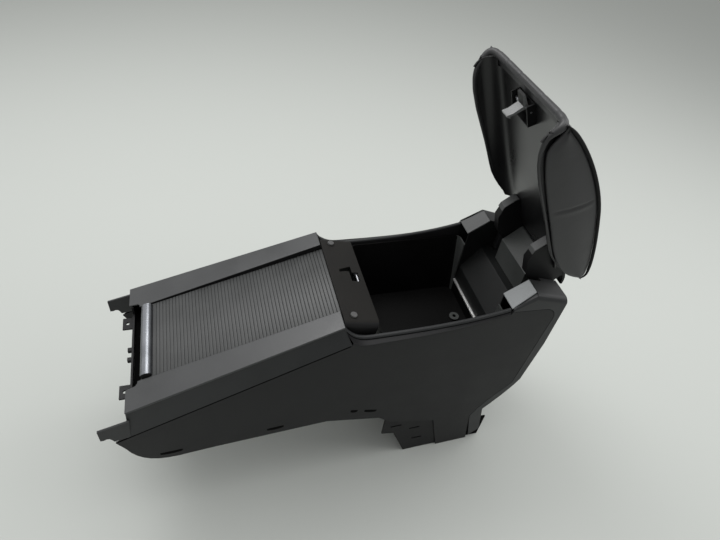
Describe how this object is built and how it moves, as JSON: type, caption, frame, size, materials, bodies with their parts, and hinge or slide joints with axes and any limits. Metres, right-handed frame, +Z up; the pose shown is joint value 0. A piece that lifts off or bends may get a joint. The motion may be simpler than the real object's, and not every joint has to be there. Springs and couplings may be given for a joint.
{
  "type": "car centre armrest",
  "caption": "Car centre console module with a ribbed roller shutter, an open storage bin and a hinged, padded armrest lid.",
  "frame": {"origin": "middle of the length and width, on the surface that the feet stand on", "axes": "+X to the rear of the car, +Y to the right side, +Z up"},
  "size_m": [0.7041, 0.24, 0.6878],
  "materials": {
    "grained_plastic": "fine grain, matte, near black",
    "trim_plastic": "fine grain, satin, dark grey",
    "black_plastic": "smooth, matte, black",
    "satin_plastic": "fine grain, satin, grey",
    "satin_black": "smooth, satin, black",
    "slat_plastic": "ribbed, satin, grey",
    "flocked_plastic": "coarse grain, dull, warm dark grey",
    "silver_plastic": "silver paint, satin",
    "grey_plastic": "smooth, mid grey",
    "light_pad": "satin, light grey",
    "dark_pad": "satin, mid grey",
    "rubber": "matte",
    "chrome": "bright, satin at its ends",
    "steel": "zinc plated",
    "leatherette": "smooth leatherette, satin, black"
  },
  "bodies": {
    "root": {"side_panel_left": "grained_plastic", "side_panel_right": "grained_plastic", "side_trim_left": "trim_plastic", "side_trim_right": "trim_plastic", "lower_bracket_left": "black_plastic", "lower_bracket_right": "black_plastic", "deck_rail_left": "satin_plastic", "deck_rail_right": "satin_plastic", "front_carrier": "black_plastic", "track_left": "black_plastic", "track_right": "black_plastic", "cup_tray": "black_plastic", "shutter_curtain": "slat_plastic", "bridge_panel": "flocked_plastic", "bump_stops": "rubber", "striker": "steel", "rim_left": "trim_plastic", "rim_right": "trim_plastic", "storage_bin": "black_plastic", "rear_panel": "black_plastic", "accent_strip": "silver_plastic", "hinge_frame": "steel", "hinge_cover": "trim_plastic", "hinge_pin": "steel", "pad_left": "light_pad", "pad_right": "dark_pad", "rear_cover": "trim_plastic"},
    "lid": {"lid_cushion": "leatherette", "lid_core": "satin_black", "lid_liner": "satin_black", "latch_housing": "black_plastic", "latch_pin": "steel", "latch_spring": "steel"},
    "latch": {"latch_lever": "grey_plastic"},
    "shutter": {"shutter_lath": "black_plastic", "shutter_handle": "chrome"}
  },
  "joints": [
    {"name": "lid_hinge", "type": "hinge", "parent": "root", "child": "lid", "pos_m": [0.31445, 0, 0.3824], "axis": [0, -1, 0], "range_deg": [0, 68]},
    {"name": "latch_press", "type": "hinge", "parent": "lid", "child": "latch", "pos_m": [0.21396, 0, 0.65727], "axis": [0, 1, 0], "range_deg": [0, 9], "stiffness_Nm_per_rad": 0.4, "springref_deg": -5.73},
    {"name": "shutter_slide", "type": "slide", "parent": "root", "child": "shutter", "axis": [0.9545, 0, 0.2982], "range_m": [0, 0.24], "deforming": ["shutter_curtain"]}
  ]
}
